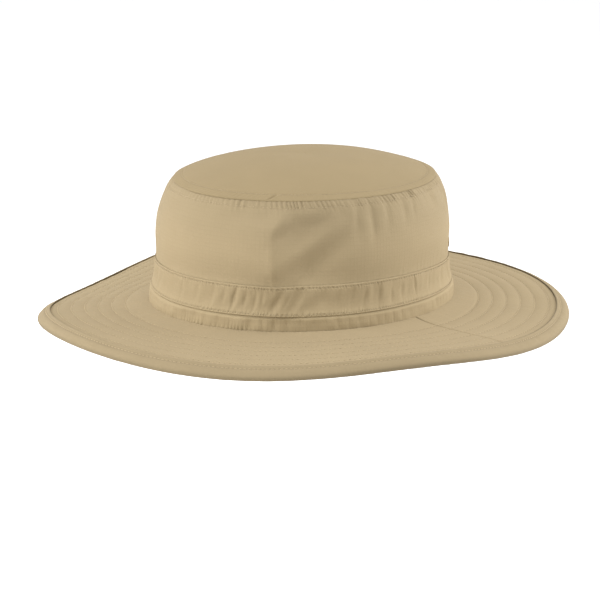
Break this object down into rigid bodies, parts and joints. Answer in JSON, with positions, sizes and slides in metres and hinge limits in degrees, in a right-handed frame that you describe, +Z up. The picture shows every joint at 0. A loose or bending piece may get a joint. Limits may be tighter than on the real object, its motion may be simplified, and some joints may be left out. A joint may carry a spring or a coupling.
{
  "type": "boonie hat",
  "caption": "Soft cloth bush hat with an oval flat-topped crown, a stitched hat band and a wide quilted brim all round.",
  "frame": {"origin": "middle of the oval head opening, at the height of the seam that joins crown and brim", "axes": "+Z up through the crown, -Y the way the wearer looks, +X and -X the wearer's ears"},
  "size_m": [0.3219, 0.3509, 0.109],
  "materials": {
    "shell_cloth": "matt cotton ripstop, tan",
    "lining_cloth": "matt cotton ripstop, tan, the reverse side",
    "band_cloth": "matt woven tape and bias binding, tan",
    "twill_tape": "matt cotton tape, tan",
    "felt": "pale non-woven stiffener",
    "thread": "tan sewing thread",
    "label_cloth": "plain white woven label, blank",
    "eyelet_metal": "dull brown lacquer"
  },
  "bodies": {
    "root": {"crown_side": "shell_cloth", "crown_tip": "shell_cloth", "tip_seam_tape": "twill_tape", "hat_band": "band_cloth", "sweatband": "lining_cloth", "care_label": "label_cloth", "tip_topstitch_thread": "thread", "side_topstitch_thread": "thread", "band_thread_lower": "thread", "band_thread_upper": "thread", "brim_top_back": "shell_cloth", "brim_top_front": "shell_cloth", "brim_interlining": "felt", "brim_under_back": "lining_cloth", "brim_under_front": "lining_cloth", "brim_binding": "band_cloth", "binding_thread": "thread", "quilting_thread_1": "thread", "quilting_thread_2": "thread", "quilting_thread_3": "thread", "quilting_thread_4": "thread", "quilting_thread_5": "thread", "quilting_thread_6": "thread", "vent_eyelet_1": "eyelet_metal", "vent_washer_1": "eyelet_metal", "vent_eyelet_2": "eyelet_metal", "vent_washer_2": "eyelet_metal", "vent_eyelet_3": "eyelet_metal", "vent_washer_3": "eyelet_metal", "vent_eyelet_4": "eyelet_metal", "vent_washer_4": "eyelet_metal"}
  },
  "joints": []
}
